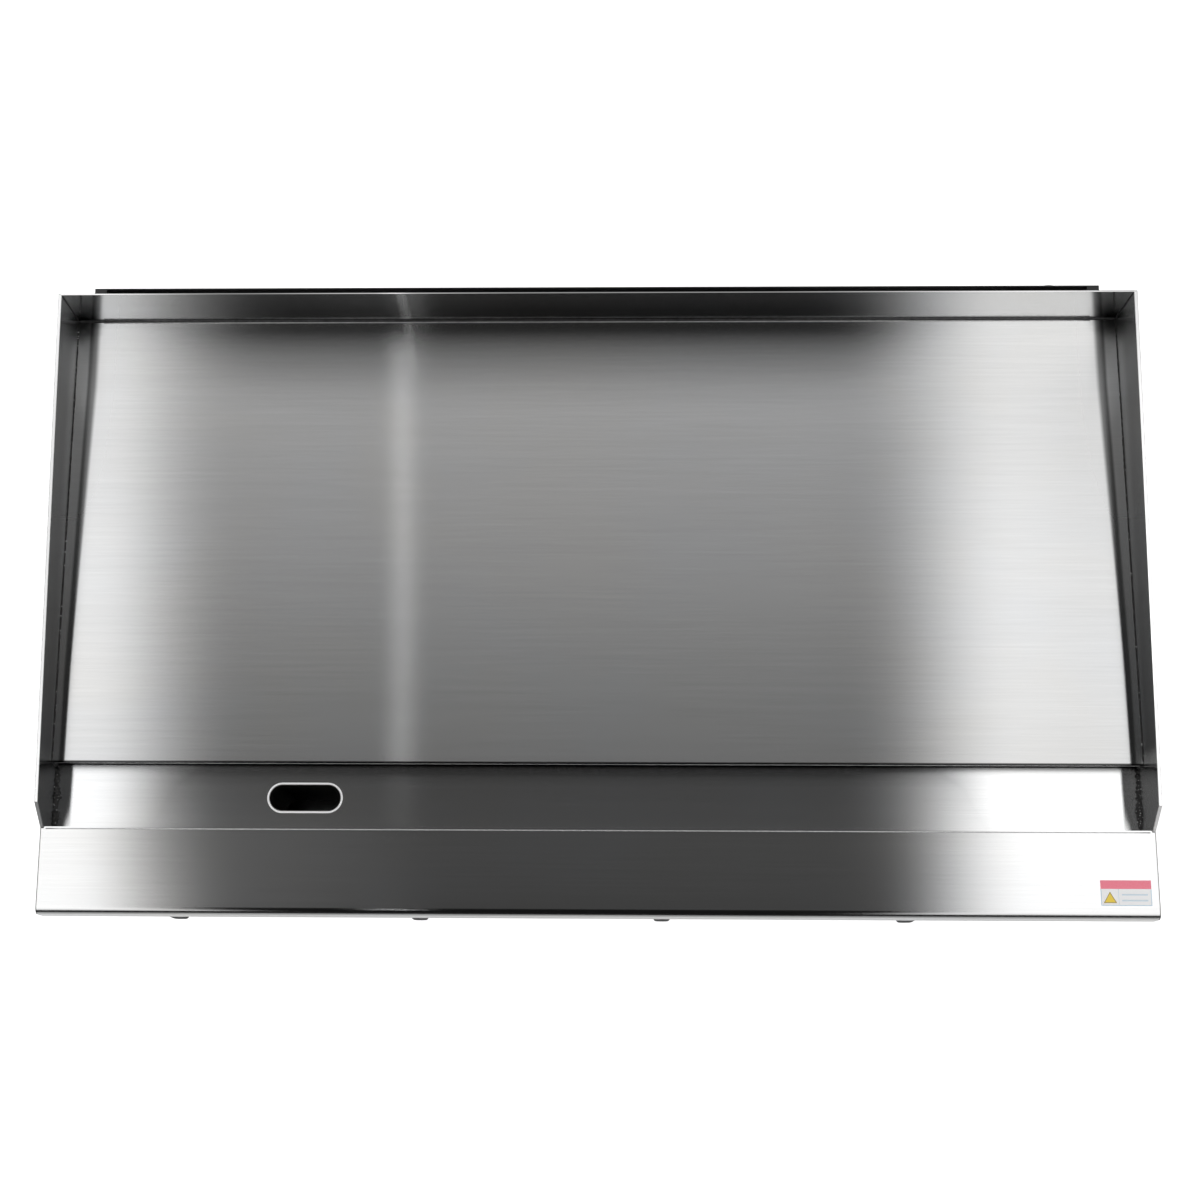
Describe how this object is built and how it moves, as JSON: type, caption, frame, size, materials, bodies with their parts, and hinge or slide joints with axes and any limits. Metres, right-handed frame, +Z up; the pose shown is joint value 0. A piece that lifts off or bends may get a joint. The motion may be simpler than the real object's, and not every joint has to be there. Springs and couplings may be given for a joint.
{
  "type": "flat top griddle",
  "caption": "Countertop gas griddle with a polished steel plate, three-sided splash guard, front grease trough with drain slot, plain ledge, control knobs and grease drawer.",
  "frame": {"origin": "centre of the footprint of the whole griddle, on the surface the feet stand on", "axes": "+Z up, +X to the right seen from the front, the front with the ledge and knobs faces -Y"},
  "size_m": [1.227, 0.768, 0.402],
  "materials": {
    "plate_steel": "polished with a fine left-to-right grain",
    "guard_steel": "brushed along the sheet",
    "trough_steel": "brushed along the sheet",
    "weld_metal": "rough weld bead",
    "ledge_steel": "brushed along the sheet",
    "label_film": "printed film, no text",
    "case_steel": "brushed along the sheet",
    "black_enamel": "satin heat-proof black",
    "frame_steel": "mill finish",
    "aluminised_steel": "matt aluminised sheet",
    "burner_steel": "plain steel tube",
    "zinc_plate": "zinc plated",
    "valve_brass": "machined",
    "bright_chrome": "polished",
    "black_pipe": "black steel pipe",
    "pilot_tube": "soft drawn tube",
    "knob_plastic": "moulded heat-proof plastic"
  },
  "bodies": {
    "chassis": {"back_panel": "case_steel", "bottom_pan": "case_steel", "burner_1": "burner_steel", "burner_2": "burner_steel", "burner_3": "burner_steel", "burner_4": "burner_steel", "burner_bars": "frame_steel", "chamber_front_wall": "aluminised_steel", "chamber_liners": "aluminised_steel", "control_panel": "case_steel", "corner_posts": "frame_steel", "drawer_runners": "frame_steel", "fasteners": "zinc_plate", "flue_guard": "black_enamel", "front_ledge": "ledge_steel", "gas_manifold": "black_pipe", "grease_chute": "trough_steel", "grease_trough": "trough_steel", "griddle_plate": "plate_steel", "heat_shield": "aluminised_steel", "knob_bezels": "bright_chrome", "label_plate": "label_film", "legs": "bright_chrome", "orifice_hoods": "valve_brass", "pilot_lines": "pilot_tube", "side_panel_left": "case_steel", "side_panel_right": "case_steel", "splash_back": "guard_steel", "splash_left": "guard_steel", "splash_right": "guard_steel", "supply_pipe": "black_pipe", "top_rail_front": "frame_steel", "top_rail_left": "frame_steel", "top_rail_rear": "frame_steel", "top_rail_right": "frame_steel", "valve_bodies": "valve_brass", "weld_beads": "weld_metal"},
    "drawer": {"drip_drawer": "case_steel", "drawer_handle": "bright_chrome"},
    "valve_1": {"valve_plug_1": "valve_brass"},
    "control_knob_1": {"knob_1": "knob_plastic", "valve_stem_1": "valve_brass"},
    "shutter_1": {"air_shutter_1": "zinc_plate"},
    "valve_2": {"valve_plug_2": "valve_brass"},
    "control_knob_2": {"knob_2": "knob_plastic", "valve_stem_2": "valve_brass"},
    "shutter_2": {"air_shutter_2": "zinc_plate"},
    "valve_3": {"valve_plug_3": "valve_brass"},
    "control_knob_3": {"knob_3": "knob_plastic", "valve_stem_3": "valve_brass"},
    "shutter_3": {"air_shutter_3": "zinc_plate"},
    "valve_4": {"valve_plug_4": "valve_brass"},
    "control_knob_4": {"knob_4": "knob_plastic", "valve_stem_4": "valve_brass"},
    "shutter_4": {"air_shutter_4": "zinc_plate"},
    "leveller_1": {"foot_1": "bright_chrome"},
    "leveller_2": {"foot_2": "bright_chrome"},
    "leveller_3": {"foot_3": "bright_chrome"},
    "leveller_4": {"foot_4": "bright_chrome"}
  },
  "joints": [
    {"name": "drawer_slide", "type": "slide", "parent": "chassis", "child": "drawer", "axis": [0, -1, 0], "range_m": [0, 0.35]},
    {"name": "knob_turn_1", "type": "hinge", "parent": "chassis", "child": "valve_1", "pos_m": [-0.4825, -0.3, 0.2], "axis": [0, -1, 0], "range_deg": [0, 90]},
    {"name": "knob_push_1", "type": "slide", "parent": "valve_1", "child": "control_knob_1", "axis": [0, 1, 0], "range_m": [0, 0.003], "stiffness_N_per_m": 1500, "springref_m": -0.002},
    {"name": "shutter_turn_1", "type": "hinge", "parent": "chassis", "child": "shutter_1", "pos_m": [-0.4825, -0.251, 0.2], "axis": [0, 1, 0], "range_deg": [0, 60]},
    {"name": "knob_turn_2", "type": "hinge", "parent": "chassis", "child": "valve_2", "pos_m": [-0.2015, -0.3, 0.2], "axis": [0, -1, 0], "range_deg": [0, 90]},
    {"name": "knob_push_2", "type": "slide", "parent": "valve_2", "child": "control_knob_2", "axis": [0, 1, 0], "range_m": [0, 0.003], "stiffness_N_per_m": 1500, "springref_m": -0.002},
    {"name": "shutter_turn_2", "type": "hinge", "parent": "chassis", "child": "shutter_2", "pos_m": [-0.2015, -0.251, 0.2], "axis": [0, 1, 0], "range_deg": [0, 60]},
    {"name": "knob_turn_3", "type": "hinge", "parent": "chassis", "child": "valve_3", "pos_m": [0.0795, -0.3, 0.2], "axis": [0, -1, 0], "range_deg": [0, 90]},
    {"name": "knob_push_3", "type": "slide", "parent": "valve_3", "child": "control_knob_3", "axis": [0, 1, 0], "range_m": [0, 0.003], "stiffness_N_per_m": 1500, "springref_m": -0.002},
    {"name": "shutter_turn_3", "type": "hinge", "parent": "chassis", "child": "shutter_3", "pos_m": [0.0795, -0.251, 0.2], "axis": [0, 1, 0], "range_deg": [0, 60]},
    {"name": "knob_turn_4", "type": "hinge", "parent": "chassis", "child": "valve_4", "pos_m": [0.3605, -0.3, 0.2], "axis": [0, -1, 0], "range_deg": [0, 90]},
    {"name": "knob_push_4", "type": "slide", "parent": "valve_4", "child": "control_knob_4", "axis": [0, 1, 0], "range_m": [0, 0.003], "stiffness_N_per_m": 1500, "springref_m": -0.002},
    {"name": "shutter_turn_4", "type": "hinge", "parent": "chassis", "child": "shutter_4", "pos_m": [0.3605, -0.251, 0.2], "axis": [0, 1, 0], "range_deg": [0, 60]},
    {"name": "foot_screw_1", "type": "slide", "parent": "chassis", "child": "leveller_1", "axis": [0, 0, -1], "range_m": [0, 0.025]},
    {"name": "foot_screw_2", "type": "slide", "parent": "chassis", "child": "leveller_2", "axis": [0, 0, -1], "range_m": [0, 0.025]},
    {"name": "foot_screw_3", "type": "slide", "parent": "chassis", "child": "leveller_3", "axis": [0, 0, -1], "range_m": [0, 0.025]},
    {"name": "foot_screw_4", "type": "slide", "parent": "chassis", "child": "leveller_4", "axis": [0, 0, -1], "range_m": [0, 0.025]}
  ]
}
